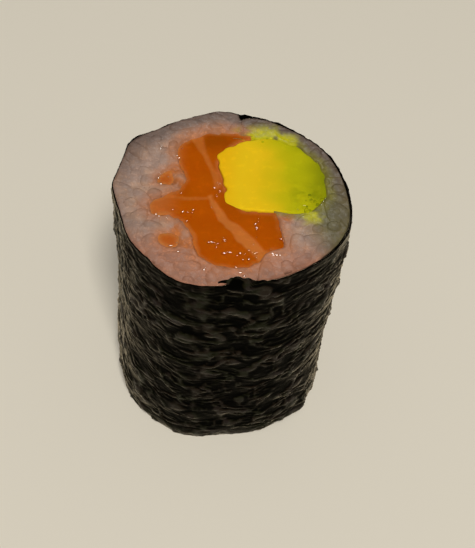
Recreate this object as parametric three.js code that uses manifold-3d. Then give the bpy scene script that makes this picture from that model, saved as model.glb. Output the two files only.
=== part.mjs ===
// A hosomaki: one short cut length of a rolled rice stick. A sheet of seaweed is wound about one and a
// half times round cooked rice, and two fillings, salmon and avocado, run through the rice from cut to cut.
// It stands on one cut face. Millimetres and degrees, +Z up, the seam of the seaweed towards -Y.

import * as THREE from 'three';
import { mergeVertices } from 'three/addons/utils/BufferGeometryUtils.js';
import Module from 'manifold-3d';

const wasm = await Module();
wasm.setup();

const TURN = 360;

// The roll
const ROLL_RADIUS = 12.37;            // middle radius of the outline, before it is pressed out and in
const ROLL_HEIGHT = 27.6;             // from cut face to cut face, along the seaweed
const PRESSED = [                     // where fingers pressed the outline out or in, over the whole height
  { at: -106, rise: 0.84, reach: 17 },
  { at: -18, rise: 0.44, reach: 17 },
  { at: 38, rise: 0.13, reach: 13 },
  { at: 100, rise: 0.52, reach: 8 },
  { at: 149, rise: 0.7, reach: 10 },
  { at: 180, rise: 0.19, reach: 5 },
  { at: -160, rise: -0.49, reach: 14 },
];
const LEANING = [                     // where the wall leans out or in, most of all at height z
  { at: -10, reach: 18, z: 7, height: 9.5, rise: -0.85 },
  { at: -150, reach: 26, z: 0, height: 9, rise: 0.62 },
  { at: -124, reach: 14, z: 0, height: 9, rise: 0.15 },
  { at: -178, reach: 22, z: 15, height: 9, rise: -0.28 },
];

// The seaweed
const SHEET = 0.25;                   // thickness of the damp sheet
const LAYER_GAP = 0.1;                // air between the two layers of the lap
const INNER_END = 90;                 // where the sheet starts, at the back under the lap
const SHEET_TURN = 542;               // how far the sheet winds from there, clockwise seen from above
const LAP_TURN = SHEET_TURN - TURN;   // how far the outer layer lies over the inner one
const LAP_EASE = 46;                  // the sheet moves out to the outline over this much past the seam
const FOLD_DEPTH = 0.85;              // the inner end is tucked into the rice
const FOLD_TURN = 9;
const RIDGES = { rise: 0.12, rings: 0.6, swells: 0.4 };               // low wrinkles round the wall
const RINGS = { spacing: 4.4, wander: 1.8, flutter: 0.5 };
const RAGGED = 0.1;                   // unevenness of the cut rim
const LIP = { rise: 0.6, reach: 14, rest: 0.22 };     // the outer end stands above the rice at the seam
const HEM = { at: -49, reach: 15, rise: 0.95, flare: 0.4, height: 3 };       // loose lower edge
const HEM_CORNER = { at: -36, reach: 5, flare: 0.35, height: 2.5 };
const TUCK = { depth: 0.3, height: 1 };               // the lower edge is pressed in by standing on it

// The rice
const RICE_GAP = 0.15;                // between the rice and what it touches
const GRAIN = { length: 5.4, width: 2.5 };
const GRAIN_SPACING = 2.2;
const GRAIN_TRIES = 1400;
const GRAIN_STAND = 0.5;              // how far the grains stand out of the core
const GRAIN_UNEVEN = 0.5;             // some stop short of the cut, and the knife went through the rest
const GRAIN_SEED = 20;
const RICE_LEVELS = [1.5, 4.5, 8, 12, 18];            // heights where the rice wall follows the leaning

// The fillings
const FILLING_TWIST = -7;             // they wander round the axis by this much, from top to bottom
const FILLING_SWELL = 0.02;
const FILLING_EDGE = 0.2;             // soft edge of the cut
const FILLING_TOPS = {                // where each top face lies, and how far its middle stands out
  avocado: { top: ROLL_HEIGHT, dome: 0.2 },
  salmon: { top: ROLL_HEIGHT - 0.05, dome: 0.1 },
  scrapLeft: { top: ROLL_HEIGHT - 0.3, dome: 0.1 },
  scrapFront: { top: ROLL_HEIGHT - 0.2, dome: 0.1 },
};
const AVOCADO = [
  [-0.4, -1.3], [1.8, -2.0], [4.8, -1.8], [7.7, -1.8], [9.4, -0.3], [9.9, 2.3], [9.2, 5.2],
  [7.2, 7.6], [4.6, 8.9], [2.1, 8.8], [-0.4, 7.3], [-1.9, 6.0], [-1.4, 3.6], [-0.7, 1.2],
];
const SALMON = [
  [-5.5, 7.8], [-6.3, 6.2], [-6.1, 4.4], [-5.3, 2.7], [-5.2, 0.9], [-6.7, -0.8], [-8.3, -2.3],
  [-8.0, -3.8], [-6.2, -3.7], [-4.5, -4.7], [-3.5, -6.6], [-2.8, -8.7], [-0.9, -9.8], [1.7, -10.0],
  [3.3, -9.1], [4.4, -7.6], [5.8, -6.8], [5.5, -5.0], [5.2, -3.2], [4.6, -1.2], [1.6, -0.2],
  [0.8, 3.6], [0.6, 7.2], [1.8, 9.3], [0.1, 9.5], [-1.9, 9.5], [-3.5, 9.1], [-4.4, 8.3],
];
const SCRAP_LEFT = [[-7.6, 0.6], [-6.5, 0.5], [-6.0, 1.5], [-6.4, 2.8], [-7.5, 2.5], [-8.0, 1.5]];
const SCRAP_FRONT = [[-6.8, -7.3], [-5.8, -8.1], [-4.7, -7.6], [-4.8, -6.5], [-5.9, -6.0], [-6.9, -6.4]];

// Plain colours and roughness of the solids
const FINISH = {
  seaweed: { color: 0x14130f, roughness: 0.38 },
  rice: { color: 0xb09a88, roughness: 0.4 },
  avocado: { color: 0xd8b818, roughness: 0.5 },
  salmon: { color: 0xb65a10, roughness: 0.35 },
};

// How finely the solids are faceted
const ANGLE_STEP = 5;
const RISE_STEPS = 12;
const FILLING_RISES = 4;
const SECTION_POINTS = 40;
const SCRAP_POINTS = 14;

const radians = THREE.MathUtils.degToRad;
const { smoothstep } = THREE.MathUtils;

/** A smooth hill of height 1 over an angle, going round the circle. */
function bellAt(angle, at, reach) {
  const away = THREE.MathUtils.euclideanModulo(angle - at + TURN / 2, TURN) - TURN / 2;
  return Math.exp(-((away / reach) ** 2));
}

/** A smooth hill of height 1 over a length. */
function bell(value, at, reach) {
  return Math.exp(-(((value - at) / reach) ** 2));
}

/** Wrinkles of the seaweed over the rice: uneven rings that rise, fall and fade as they go round. */
function ridges(angle, z) {
  const a = radians(angle);
  const strayed = z + RINGS.wander * Math.sin(2 * a + 0.6) + RINGS.flutter * Math.sin(7 * a);
  const rings = Math.sin((2 * Math.PI * strayed) / RINGS.spacing);
  const swells = Math.sin(z / 1.3 - 2.1 * Math.sin(3 * a + 1.7) + 2) * Math.sin(4 * a + 0.9);
  return RIDGES.rise * (RIDGES.rings * rings + RIDGES.swells * swells);
}

/** Distance from the axis to the wall of the roll, without its wrinkles. */
function wallRadius(angle, z) {
  const pressed = PRESSED.reduce((sum, p) => sum + p.rise * bellAt(angle, p.at, p.reach), ROLL_RADIUS);
  const leaning = LEANING.map((p) => p.rise * bellAt(angle, p.at, p.reach) * bell(z, p.z, p.height));
  const tuck = TUCK.depth * Math.exp(-z / TUCK.height);
  return leaning.reduce((sum, lean) => sum + lean, pressed) - tuck;
}

/** How far the outer face of the sheet lies inside the wall's, after winding so far from its inner end. */
function sheetDepth(wound) {
  const under = 1 - smoothstep(wound, LAP_TURN, LAP_TURN + LAP_EASE);
  const fold = FOLD_DEPTH * (1 - Math.min(wound / FOLD_TURN, 1)) ** 2;
  return under * (SHEET + LAYER_GAP) + fold;
}

/** How far the loose lower edge of the outer layer stands out from the wall. */
function hemFlare(angle, z) {
  const hem = HEM.flare * bellAt(angle, HEM.at, HEM.reach) * Math.exp(-z / HEM.height);
  const corner = bellAt(angle, HEM_CORNER.at, HEM_CORNER.reach) * Math.exp(-z / HEM_CORNER.height);
  return hem + HEM_CORNER.flare * corner;
}

/** Uneven height of a cut rim. */
function ragged(angle) {
  const a = radians(angle);
  return RAGGED * (0.6 * Math.sin(5 * a + 1) + 0.4 * Math.sin(13 * a + 2));
}

function onCircle(angle, radius, z) {
  const a = radians(angle);
  return new THREE.Vector3(radius * Math.cos(a), radius * Math.sin(a), z);
}

/** Heights of the rows of facets, closer together near both rims. */
function rowHeights() {
  return Array.from({ length: RISE_STEPS + 1 }, (_, k) => {
    const v = k / RISE_STEPS;
    return ROLL_HEIGHT * (0.5 * v + 0.25 * (1 - Math.cos(Math.PI * v)));
  });
}

/** A fan from a cap's middle point to its edge. */
function fanCap(loop, middle) {
  return loop.map((_, k) => [k, (k + 1) % loop.length, middle]);
}

/** Pairs of facets across a long thin loop that goes up one side and down the other. */
function stripCap(loop) {
  const last = loop.length - 1;
  const cells = Array.from({ length: loop.length / 2 - 1 }, (_, k) => k);
  return cells.flatMap((k) => [
    [k, k + 1, last - k],
    [k + 1, last - k - 1, last - k],
  ]);
}

/**
 * A closed body through a row of loops with the same number of points, each loop running anticlockwise
 * seen from the end that the row goes towards. middles are the two middle points of fan caps, or null.
 */
function loft(loops, middles) {
  const size = loops[0].length;
  const points = loops.flat();
  const faces = [];
  for (let row = 0; row + 1 < loops.length; row += 1) {
    for (let k = 0; k < size; k += 1) {
      const a = row * size + k;
      const b = row * size + ((k + 1) % size);
      faces.push([a, b, b + size], [a, b + size, a + size]);
    }
  }
  const lastRow = (loops.length - 1) * size;
  const firstCap = middles ? fanCap(loops[0], points.length) : stripCap(loops[0]);
  const lastCap = middles ? fanCap(loops[0], points.length + 1 - lastRow) : stripCap(loops[0]);
  firstCap.forEach(([a, b, c]) => faces.push([b, a, c]));
  lastCap.forEach((face) => faces.push(face.map((k) => k + lastRow)));
  const geometry = new THREE.BufferGeometry();
  const all = middles ? points.concat(middles) : points;
  geometry.setAttribute('position', new THREE.Float32BufferAttribute(all.flatMap((p) => p.toArray()), 3));
  geometry.setIndex(faces.flat());
  return geometry;
}

/** The seaweed: one thin sheet wound from its tucked inner end round to the seam. */
function makeSeaweed() {
  const heights = rowHeights();
  const loops = [];
  for (let wound = 0; wound <= SHEET_TURN; wound += ANGLE_STEP) {
    const turned = SHEET_TURN - wound < ANGLE_STEP ? SHEET_TURN : wound;
    const angle = INNER_END - turned;
    const outer = smoothstep(turned, SHEET_TURN - 100, SHEET_TURN - 70);
    const lip = LIP.rise * bell(turned, SHEET_TURN, LIP.reach) + LIP.rest * outer;
    const foot = outer * HEM.rise * bellAt(angle, HEM.at, HEM.reach);
    const column = heights.map((height, row) => {
      const top = row === RISE_STEPS ? lip + ragged(turned) : 0;
      const z = row === 0 ? foot : height + top;
      const wall = wallRadius(angle, height) + ridges(angle, height);
      return { z, radius: wall - sheetDepth(turned) + outer * hemFlare(angle, height) };
    });
    const outside = column.map(({ z, radius }) => onCircle(angle, radius, z));
    const inside = column.map(({ z, radius }) => onCircle(angle, radius - SHEET, z));
    loops.push(outside.concat(inside.reverse()));
  }
  return loft(loops, null);
}

/** Distance from the axis to the face of the rice: it lies inside the innermost layer of the sheet. */
function riceRadius(angle, z) {
  const wound = THREE.MathUtils.euclideanModulo(INNER_END - angle, TURN);
  return wallRadius(angle, z) - sheetDepth(wound) - SHEET - RIDGES.rise - RICE_GAP;
}

/** The space that the rice may fill between two heights. */
function riceSpace(bottom, top) {
  const loops = [bottom, ...RICE_LEVELS, top].map((z) => {
    const loop = [];
    for (let angle = INNER_END - TURN; angle < INNER_END; angle += ANGLE_STEP) {
      loop.push(onCircle(angle, riceRadius(angle, z), z));
    }
    return loop;
  });
  return loft(loops, [new THREE.Vector3(0, 0, bottom), new THREE.Vector3(0, 0, top)]);
}

/** A closed smooth outline through the corner points, moved outwards by grow. */
function sectionOutline(corners, count, grow) {
  const curve = new THREE.CatmullRomCurve3(corners.map(([x, y]) => new THREE.Vector3(x, y, 0)), true);
  return Array.from({ length: count }, (_, k) => {
    const point = curve.getPoint(k / count);
    const along = curve.getTangent(k / count);
    return new THREE.Vector3(point.x + grow * along.y, point.y - grow * along.x, 0);
  });
}

function middleOf(outline) {
  return outline.reduce((sum, p) => sum.add(p), new THREE.Vector3()).divideScalar(outline.length);
}

/** Carries a point of a section at the top cut to another height: fillings twist and swell a little. */
function carry(point, middle, z) {
  const swell = 1 + FILLING_SWELL * Math.sin((Math.PI * z) / ROLL_HEIGHT) * Math.sin(z / 3);
  const turned = point.clone().sub(middle).multiplyScalar(swell).add(middle);
  turned.applyAxisAngle(new THREE.Vector3(0, 0, 1), radians(FILLING_TWIST * (1 - z / ROLL_HEIGHT)));
  return turned.setZ(z);
}

/** A filling with softened edges, from cut to cut, its top face raised a little in the middle. */
function makeFilling(corners, count, { top, dome }) {
  const rises = Array.from({ length: FILLING_RISES + 1 }, (_, k) => k / FILLING_RISES);
  const heights = rises.map((v) => FILLING_EDGE + v * (top - 2 * FILLING_EDGE));
  const middle = middleOf(sectionOutline(corners, count, 0));
  const ring = (grow, z) => sectionOutline(corners, count, grow).map((p) => carry(p, middle, z));
  const loops = [ring(-FILLING_EDGE, 0), ...heights.map((z) => ring(0, z)), ring(-FILLING_EDGE, top)];
  return loft(loops, [carry(middle, middle, 0), carry(middle, middle, top).setZ(top + dome)]);
}

/** The channel that a filling needs: its own shape, grown all round, past both cuts. */
function makeChannel(corners, count, grow) {
  const steps = Array.from({ length: FILLING_RISES + 1 }, (_, k) => k / FILLING_RISES);
  const middle = middleOf(sectionOutline(corners, count, 0));
  const heights = steps.map((v) => v * (ROLL_HEIGHT + 4) - 2);
  const loops = heights.map((z) => sectionOutline(corners, count, grow).map((p) => carry(p, middle, z)));
  const ends = [heights[0], heights[FILLING_RISES]];
  return loft(loops, ends.map((z) => carry(middle, middle, z)));
}

/** A closed geometry as a solid for cutting and joining. */
function toSolid(geometry) {
  const bare = geometry.clone();
  bare.deleteAttribute('normal');
  bare.deleteAttribute('uv');
  const merged = mergeVertices(bare);
  return new wasm.Manifold(new wasm.Mesh({
    numProp: 3,
    vertProperties: new Float32Array(merged.attributes.position.array),
    triVerts: new Uint32Array(merged.index.array),
  }));
}

/** A solid's largest closed skin as a geometry: loose scraps and sealed hollows are dropped. */
function toGeometry(solid) {
  const skins = solid.decompose();
  const largest = skins.reduce((best, skin) => (skin.volume() > best.volume() ? skin : best));
  const mesh = largest.getMesh();
  const geometry = new THREE.BufferGeometry();
  geometry.setAttribute('position', new THREE.Float32BufferAttribute(mesh.vertProperties, 3));
  geometry.setIndex(Array.from(mesh.triVerts));
  return geometry;
}

/** A repeatable source of numbers from 0 to 1. */
function seededDraws(seed) {
  let state = seed;
  return () => {
    state = (state * 16807) % 2147483647;
    return state / 2147483647;
  };
}

/** Places for the grains of one cut face, tried in turn and kept where they have room. */
function grainPlaces(draw) {
  const places = [];
  for (let attempt = 0; attempt < GRAIN_TRIES; attempt += 1) {
    const reach = (ROLL_RADIUS + 0.5) * Math.sqrt(draw());
    const angle = TURN * draw();
    const spot = onCircle(angle, reach, 0);
    if (places.every((p) => p.distanceTo(spot) > GRAIN_SPACING)) {
      places.push(spot);
    }
  }
  return places;
}

/** One grain of rice: a plump spindle, lying or steeply cut, at its place on a cut face. */
function makeGrain(place, height, draw) {
  const size = 0.88 + 0.24 * draw();
  const grain = new THREE.OctahedronGeometry(1, 1);
  grain.scale((size * GRAIN.length) / 2, (size * GRAIN.width) / 2, (size * GRAIN.width) / 2);
  const steep = draw() < 0.45;
  const pitch = steep ? 50 + 35 * draw() : 25 * (draw() - 0.5);
  grain.rotateY(radians(pitch));
  grain.rotateZ(radians(TURN * draw()));
  const reach = new THREE.Box3().setFromBufferAttribute(grain.attributes.position).max.z;
  return grain.translate(place.x, place.y, height - reach + GRAIN_UNEVEN * (draw() - 0.4));
}

/** The rice: a core with the grains of both cut faces fused on, and a channel for each filling. */
function makeRice(channels) {
  const draw = seededDraws(GRAIN_SEED);
  const top = grainPlaces(draw).map((place) => makeGrain(place, ROLL_HEIGHT, draw));
  const bottom = grainPlaces(draw).map((place) => makeGrain(place, 0, draw).rotateX(Math.PI));
  const core = toSolid(riceSpace(GRAIN_STAND, ROLL_HEIGHT - GRAIN_STAND));
  const space = toSolid(riceSpace(0, ROLL_HEIGHT));
  const joined = wasm.Manifold.union([core, ...top.concat(bottom).map(toSolid)]);
  return toGeometry(channels.reduce((rice, channel) => rice.subtract(channel), joined.intersect(space)));
}

function makeMesh(name, geometry, finish) {
  const mesh = new THREE.Mesh(geometry, new THREE.MeshStandardMaterial({ ...finish, metalness: 0 }));
  mesh.name = name;
  return mesh;
}

function makeHosomaki() {
  const avocadoRoom = toSolid(makeChannel(AVOCADO, SECTION_POINTS, RICE_GAP));
  const salmonRoom = toSolid(makeChannel(SALMON, SECTION_POINTS, RICE_GAP));
  const scrapRooms = [SCRAP_LEFT, SCRAP_FRONT].map((s) => toSolid(makeChannel(s, SCRAP_POINTS, RICE_GAP)));
  const avocado = makeFilling(AVOCADO, SECTION_POINTS, FILLING_TOPS.avocado);
  const salmonStick = toSolid(makeFilling(SALMON, SECTION_POINTS, FILLING_TOPS.salmon));
  const salmon = toGeometry(salmonStick.subtract(avocadoRoom));
  const scrapLeft = makeFilling(SCRAP_LEFT, SCRAP_POINTS, FILLING_TOPS.scrapLeft);
  const scrapFront = makeFilling(SCRAP_FRONT, SCRAP_POINTS, FILLING_TOPS.scrapFront);
  const part = new THREE.Group();
  part.add(
    makeMesh('nori', makeSeaweed(), FINISH.seaweed),
    makeMesh('rice', makeRice([avocadoRoom, salmonRoom, ...scrapRooms]), FINISH.rice),
    makeMesh('avocado', avocado, FINISH.avocado),
    makeMesh('salmon', salmon, FINISH.salmon),
    makeMesh('salmon_scrap_left', scrapLeft, FINISH.salmon),
    makeMesh('salmon_scrap_front', scrapFront, FINISH.salmon),
  );
  return part;
}

/** Puts the middle of the footprint over the origin. */
function centred(part) {
  const middle = new THREE.Box3().setFromObject(part).getCenter(new THREE.Vector3());
  part.position.set(-middle.x, -middle.y, 0);
  part.updateMatrixWorld(true);
  return part;
}

export default centred(makeHosomaki());
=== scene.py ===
"""A hosomaki: one short cut length of a rolled rice stick, standing on a cut face.

A damp sheet of seaweed is wound about one and a half times round cooked rice, and salmon and avocado run
through the rice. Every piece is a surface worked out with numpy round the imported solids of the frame.
Sizes are in millimetres until a mesh is made, angles in degrees, anticlockwise from +X seen from above.
Plan places are places on the upper cut, seen from above.
"""

import logging
import math
from dataclasses import dataclass, field
from enum import Enum

import bpy
import numpy as np
from mathutils import Matrix, Vector
from mathutils.geometry import delaunay_2d_cdt


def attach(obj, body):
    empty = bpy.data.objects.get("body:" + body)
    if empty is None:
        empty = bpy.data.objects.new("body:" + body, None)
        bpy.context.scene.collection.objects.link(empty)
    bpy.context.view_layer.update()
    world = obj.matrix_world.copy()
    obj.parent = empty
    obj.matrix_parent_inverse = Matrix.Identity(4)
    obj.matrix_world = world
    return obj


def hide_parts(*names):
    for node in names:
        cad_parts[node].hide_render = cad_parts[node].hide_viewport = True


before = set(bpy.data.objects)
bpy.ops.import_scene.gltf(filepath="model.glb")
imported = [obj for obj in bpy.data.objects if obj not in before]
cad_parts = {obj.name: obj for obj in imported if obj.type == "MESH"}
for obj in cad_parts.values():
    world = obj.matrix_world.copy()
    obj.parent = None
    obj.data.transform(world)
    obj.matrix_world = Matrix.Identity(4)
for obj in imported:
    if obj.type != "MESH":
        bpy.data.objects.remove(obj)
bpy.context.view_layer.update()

LOG = logging.getLogger("hosomaki")
MM = 0.001
TURN = 360.0
BODY = "root"

Triple = tuple[float, float, float]
Colour = Triple
Place = tuple[float, float]
Socket = bpy.types.NodeSocket


class Cut(Enum):
    """The two cut faces of the roll."""

    TOP = 1
    BOTTOM = -1


# Numbers on arrays


def smoothstep(value: np.ndarray, low: float, high: float) -> np.ndarray:
    """Rises smoothly from 0 at low to 1 at high: t squared times 3 minus 2 t."""
    t = np.clip((value - low) / (high - low), 0.0, 1.0)
    return t * t * (3.0 - 2.0 * t)


def bell(value: np.ndarray, at: float, reach: float) -> np.ndarray:
    """A smooth hill of height 1: e to the minus squared distance in reaches."""
    return np.exp(-(((value - at) / reach) ** 2))


def bell_round(angle: np.ndarray, at: float, reach: float) -> np.ndarray:
    """The same hill over an angle, going round the circle."""
    return bell(np.mod(angle - at + TURN / 2, TURN) - TURN / 2, 0.0, reach)


def bell_on(plan: np.ndarray, at: Place, reach: float) -> np.ndarray:
    """The same hill over plan places, round one of them."""
    return bell(np.hypot(plan[:, 0] - at[0], plan[:, 1] - at[1]), 0.0, reach)


def soft_cap(value: np.ndarray, cap: np.ndarray, give: float) -> np.ndarray:
    """Holds a value near a cap, which it passes by at most give, with a rounded shoulder."""
    over = np.maximum(value - (cap - give), 0.0)
    return np.minimum(value, cap - give) + 2.0 * give * np.tanh(over / (2.0 * give))


def turned(x: np.ndarray, y: np.ndarray, angle: np.ndarray) -> tuple[np.ndarray, np.ndarray]:
    """Both coordinates after a turn by an angle in radians."""
    return x * np.cos(angle) - y * np.sin(angle), x * np.sin(angle) + y * np.cos(angle)


def polar(points: np.ndarray) -> tuple[np.ndarray, np.ndarray]:
    """Directions of points from the axis, and their distances from it."""
    return np.degrees(np.arctan2(points[:, 1], points[:, 0])), np.hypot(points[:, 0], points[:, 1])


def rows_of(x: np.ndarray, y: np.ndarray, z: np.ndarray) -> np.ndarray:
    """Points in space, one row each, from arrays of their coordinates."""
    return np.stack([x, y, z], -1).reshape(-1, 3)


def painted(base: Colour, *coats: tuple[Colour, np.ndarray]) -> np.ndarray:
    """Lays coats over a base colour.

    Args:
        base: the linear colour underneath.
        coats: colours in order, each with the share by which it covers each point.

    Returns:
        A linear colour for each point: every coat moves it towards its own by the share.
    """
    colours = np.array(base)
    for colour, share in coats:
        colours = colours + (np.array(colour) - colours) * share[:, None]
    return colours


@dataclass
class Noise:
    """Smooth random heights from 0 to 1 over a plane, from a seeded lattice."""

    seed: int
    size: int = 256
    lattice: np.ndarray = field(init=False)

    def __post_init__(self) -> None:
        """Draws the lattice: for each cell a height and two shifts of a point."""
        self.lattice = np.random.default_rng(self.seed).random((self.size, self.size, 3))

    def corner(self, i: np.ndarray, j: np.ndarray, period: int, channel: int) -> np.ndarray:
        """The lattice's number at whole coordinates, repeating after period along the first."""
        return self.lattice[np.mod(i, period), np.mod(j, self.size), channel]

    def at(self, x: np.ndarray, y: np.ndarray, period: int = 256) -> np.ndarray:
        """Heights between the lattice points, blended by a fifth-power ease.

        Args:
            x: first coordinate, in lattice cells.
            y: second coordinate, in lattice cells.
            period: number of cells after which the pattern repeats along x.

        Returns:
            Heights from 0 to 1.
        """
        i, j = np.floor(x).astype(int), np.floor(y).astype(int)
        u, v = (t * t * t * (t * (t * 6.0 - 15.0) + 10.0) for t in (x - i, y - j))
        near = self.corner(i, j, period, 0) * (1 - u) + self.corner(i + 1, j, period, 0) * u
        far = self.corner(i, j + 1, period, 0) * (1 - u) + self.corner(i + 1, j + 1, period, 0) * u
        return near * (1 - v) + far * v

    def on(self, plan: np.ndarray, cell: float | Place, shift: float | Place) -> np.ndarray:
        """Heights on plan places, in cells of a size, starting a number of cells away."""
        return self.at(*(plan / np.array(cell) + np.array(shift)).T)

    def lumps(self, x: np.ndarray, y: np.ndarray, period: int = 256) -> np.ndarray:
        """Rounded lumps: 1 minus the squared distance to the nearest point, of one shifted in each cell.

        Args:
            x: first coordinate, in cells.
            y: second coordinate, in cells.
            period: number of cells after which the pattern repeats along x.

        Returns:
            Heights from 0 to 1.
        """
        i, j = np.floor(x).astype(int), np.floor(y).astype(int)
        nearest = np.full(np.broadcast(x, y).shape, 9.0)
        for di in (-1, 0, 1):
            for dj in (-1, 0, 1):
                px = i + di + 0.1 + 0.8 * self.corner(i + di, j + dj, period, 1)
                py = j + dj + 0.1 + 0.8 * self.corner(i + di, j + dj, period, 2)
                nearest = np.minimum(nearest, np.hypot(x - px, y - py))
        return np.clip(1.0 - nearest**2, 0.0, 1.0)


# Meshes from arrays


def ring_grid(rows: int, size: int, close_rows: bool) -> np.ndarray:
    """Quads of a grid whose rows are closed rings.

    Args:
        rows: number of rings.
        size: number of points in each ring.
        close_rows: whether the last ring joins the first.

    Returns:
        An array of four indices for each quad.
    """
    spans = rows if close_rows else rows - 1
    row, k = np.meshgrid(np.arange(spans), np.arange(size), indexing="ij")
    after = np.mod(row + 1, rows)
    beside = np.mod(k + 1, size)
    quads = np.stack([row * size + k, row * size + beside, after * size + beside, after * size + k], -1)
    return quads.reshape(-1, 4)


def end_caps(rows: int, size: int) -> np.ndarray:
    """Two loops that close the first and the last ring of a grid, turned like its quads."""
    return np.stack([np.arange(size)[::-1], np.arange(size) + (rows - 1) * size])


def many_grids(count: int, rows: int, size: int) -> list[np.ndarray]:
    """Quads and end caps of grids of rings whose points follow one another in one array.

    Args:
        count: number of grids.
        rows: number of rings in each.
        size: number of points in each ring.

    Returns:
        The quads, and the end caps.
    """
    starts = (np.arange(count) * rows * size)[:, None, None]
    quads = (ring_grid(rows, size, False)[None] + starts).reshape(-1, 4)
    return [quads, (end_caps(rows, size)[None] + starts).reshape(-1, size)]


def signed_volume(points: np.ndarray, faces: list[np.ndarray]) -> float:
    """The space inside a closed surface: a sum of thin pyramids, with their tips at the origin.

    Args:
        points: places, one row each.
        faces: groups of faces, each an array with a row of indices for each face.

    Returns:
        The volume, negative where the faces look inwards.
    """
    total = 0.0
    for group in faces:
        for k in range(1, group.shape[1] - 1):
            a, b, c = (points[group[:, j]] for j in (0, k, k + 1))
            total += float((np.cross(b - a, c - a) * a).sum()) / 6.0
    return total


def make_piece(
    name: str,
    points: np.ndarray,
    faces: list[np.ndarray],
    material: bpy.types.Material,
    attributes: dict[str, np.ndarray] | None = None,
) -> bpy.types.Object:
    """Puts a closed surface into a mesh object at the origin, smooth apart from faces of over four corners.

    Args:
        name: the piece's name.
        points: places in millimetres, one row each.
        faces: groups of faces, each an array with a row of indices for each face.
        material: the finish.
        attributes: linear colours or plain numbers of the points, by name.

    Returns:
        The new object.
    """
    if signed_volume(points, faces) < 0.0:
        faces = [group[:, ::-1] for group in faces]
    corners = np.concatenate([group.ravel() for group in faces]).astype(np.int32)
    totals = np.concatenate([np.full(len(group), group.shape[1]) for group in faces]).astype(np.int32)
    mesh = bpy.data.meshes.new(name)
    mesh.vertices.add(len(points))
    mesh.vertices.foreach_set("co", (points * MM).astype(np.float32).ravel())
    mesh.loops.add(len(corners))
    mesh.loops.foreach_set("vertex_index", corners)
    mesh.polygons.add(len(totals))
    mesh.polygons.foreach_set("loop_start", (np.cumsum(totals) - totals).astype(np.int32))
    mesh.polygons.foreach_set("loop_total", totals)
    mesh.polygons.foreach_set("use_smooth", totals <= 4)
    for label, values in (attributes or {}).items():
        if values.ndim == 1:
            layer = mesh.attributes.new(label, "FLOAT", "POINT")
            layer.data.foreach_set("value", values.astype(np.float32))
        else:
            layer = mesh.attributes.new(label, "FLOAT_COLOR", "POINT")
            with_alpha = np.concatenate([values, np.ones((len(values), 1))], 1)
            layer.data.foreach_set("color", with_alpha.astype(np.float32).ravel())
    mesh.update(calc_edges=True)
    mesh.validate()
    mesh.materials.append(material)
    piece = bpy.data.objects.new(name, mesh)
    bpy.context.scene.collection.objects.link(piece)
    return piece


def hand_over(piece: bpy.types.Object, slot: str, *nodes: str) -> None:
    """Lets a piece ride on the roll and says which solids it stands for.

    Args:
        piece: the piece.
        slot: the record's material slot; not used.
        nodes: the solids' nodes.
    """
    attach(piece, BODY)
    if nodes:
        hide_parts(*nodes)
    LOG.info("%s: %d faces, stands for %s", piece.name, len(piece.data.polygons), list(nodes))


# Outlines on the cut face


def centripetal_curve(corners: np.ndarray, count: int) -> np.ndarray:
    """A closed smooth curve through corner points.

    Each stretch is a cubic between two corners. Its end slopes come from the neighbouring corners, with
    knots spaced by the square root of the distance, so that the curve makes no loops.

    Args:
        corners: the corner points, in order.
        count: how many points to return, evenly spaced in corner steps.

    Returns:
        The points of the curve.
    """
    place = np.arange(count) * len(corners) / count
    k = np.floor(place).astype(int)
    u = (place - k)[:, None]
    p0, p1, p2, p3 = (corners[np.mod(k + step, len(corners))] for step in (-1, 0, 1, 2))
    spans = ((p0, p1), (p1, p2), (p2, p3))
    d0, d1, d2 = (np.sqrt(np.linalg.norm(b - a, axis=1))[:, None] for a, b in spans)
    leave = ((p1 - p0) / d0 - (p2 - p0) / (d0 + d1) + (p2 - p1) / d1) * d1
    arrive = ((p2 - p1) / d1 - (p3 - p1) / (d1 + d2) + (p3 - p2) / d2) * d1
    square = u * u
    cube = square * u
    middle = p1 * (2 * cube - 3 * square + 1) + p2 * (3 * square - 2 * cube)
    return middle + leave * (cube - 2 * square + u) + arrive * (cube - square)


def outward(outline: np.ndarray) -> np.ndarray:
    """Unit directions out of an anticlockwise outline: its tangent, turned right."""
    along = np.roll(outline, -1, 0) - np.roll(outline, 1, 0)
    out = np.stack([along[:, 1], -along[:, 0]], 1)
    return out / np.linalg.norm(out, axis=1, keepdims=True)


def nearest_on_lines(
    points: np.ndarray, starts: np.ndarray, ends: np.ndarray
) -> tuple[np.ndarray, np.ndarray]:
    """The nearest place to each point on a set of straight stretches.

    Args:
        points: the points to measure from.
        starts: where each stretch starts.
        ends: where each stretch ends.

    Returns:
        The nearest places, and their distances.
    """
    best = np.full(len(points), np.inf)
    found = np.zeros_like(points)
    for start, end in zip(starts, ends):
        along = end - start
        t = np.clip(((points - start) @ along) / max(along @ along, 1e-12), 0.0, 1.0)
        place = start + t[:, None] * along
        away = np.linalg.norm(points - place, axis=1)
        closer = away < best
        best = np.where(closer, away, best)
        found = np.where(closer[:, None], place, found)
    return found, best


def inside(points: np.ndarray, outline: np.ndarray) -> np.ndarray:
    """Whether points lie inside an outline: a ray to the right crosses it an odd number of times."""
    x, y = points[:, 0], points[:, 1]
    crossed = np.zeros(len(points), bool)
    for (x1, y1), (x2, y2) in zip(outline, np.roll(outline, -1, 0)):
        if y1 != y2:
            crossed ^= ((y1 > y) != (y2 > y)) & (x < (x2 - x1) * (y - y1) / (y2 - y1) + x1)
    return crossed


def depth_in(points: np.ndarray, outline: np.ndarray) -> np.ndarray:
    """Distance from an outline, positive inside it and negative outside."""
    away = nearest_on_lines(points, outline, np.roll(outline, -1, 0))[1]
    return np.where(inside(points, outline), away, -away)


def distance_to_path(points: np.ndarray, path: list[Place]) -> np.ndarray:
    """Distance from points to a path of straight stretches."""
    return nearest_on_lines(points, np.array(path[:-1]), np.array(path[1:]))[1]


# The form of the roll


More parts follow.
